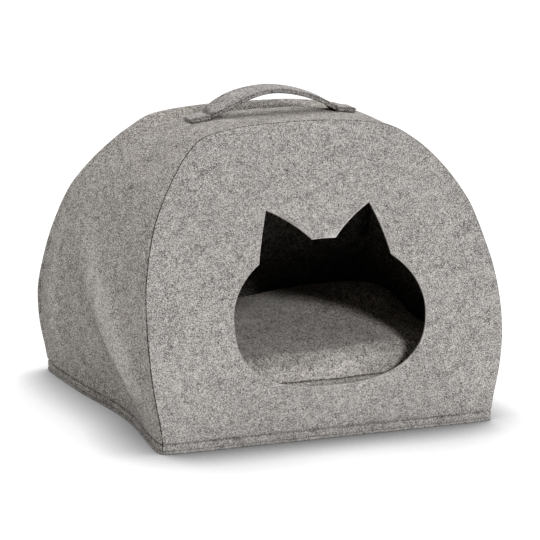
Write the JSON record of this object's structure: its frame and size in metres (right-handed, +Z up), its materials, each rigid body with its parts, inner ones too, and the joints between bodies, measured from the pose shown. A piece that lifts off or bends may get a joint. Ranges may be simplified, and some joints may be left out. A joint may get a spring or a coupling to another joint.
{
  "type": "felt cat cave with cushion",
  "caption": "Domed grey felt cat house with a cat-head doorway, an arched band over the sides and roof, a sewn carrying handle and a loose cushion inside.",
  "frame": {"origin": "on the floor, under the middle of the cave's bounding box", "axes": "+Z up, the doorway faces -Y, +X to the right seen from the front"},
  "size_m": [0.3865, 0.3931, 0.337],
  "materials": {
    "felt": "matt heathered grey felt",
    "cushion_cover": "matt heathered grey felt"
  },
  "bodies": {
    "root": {"front_panel": "felt", "arch_band": "felt", "back_panel": "felt", "base_panel": "felt", "handle_strap": "felt", "cushion": "cushion_cover"}
  },
  "joints": []
}
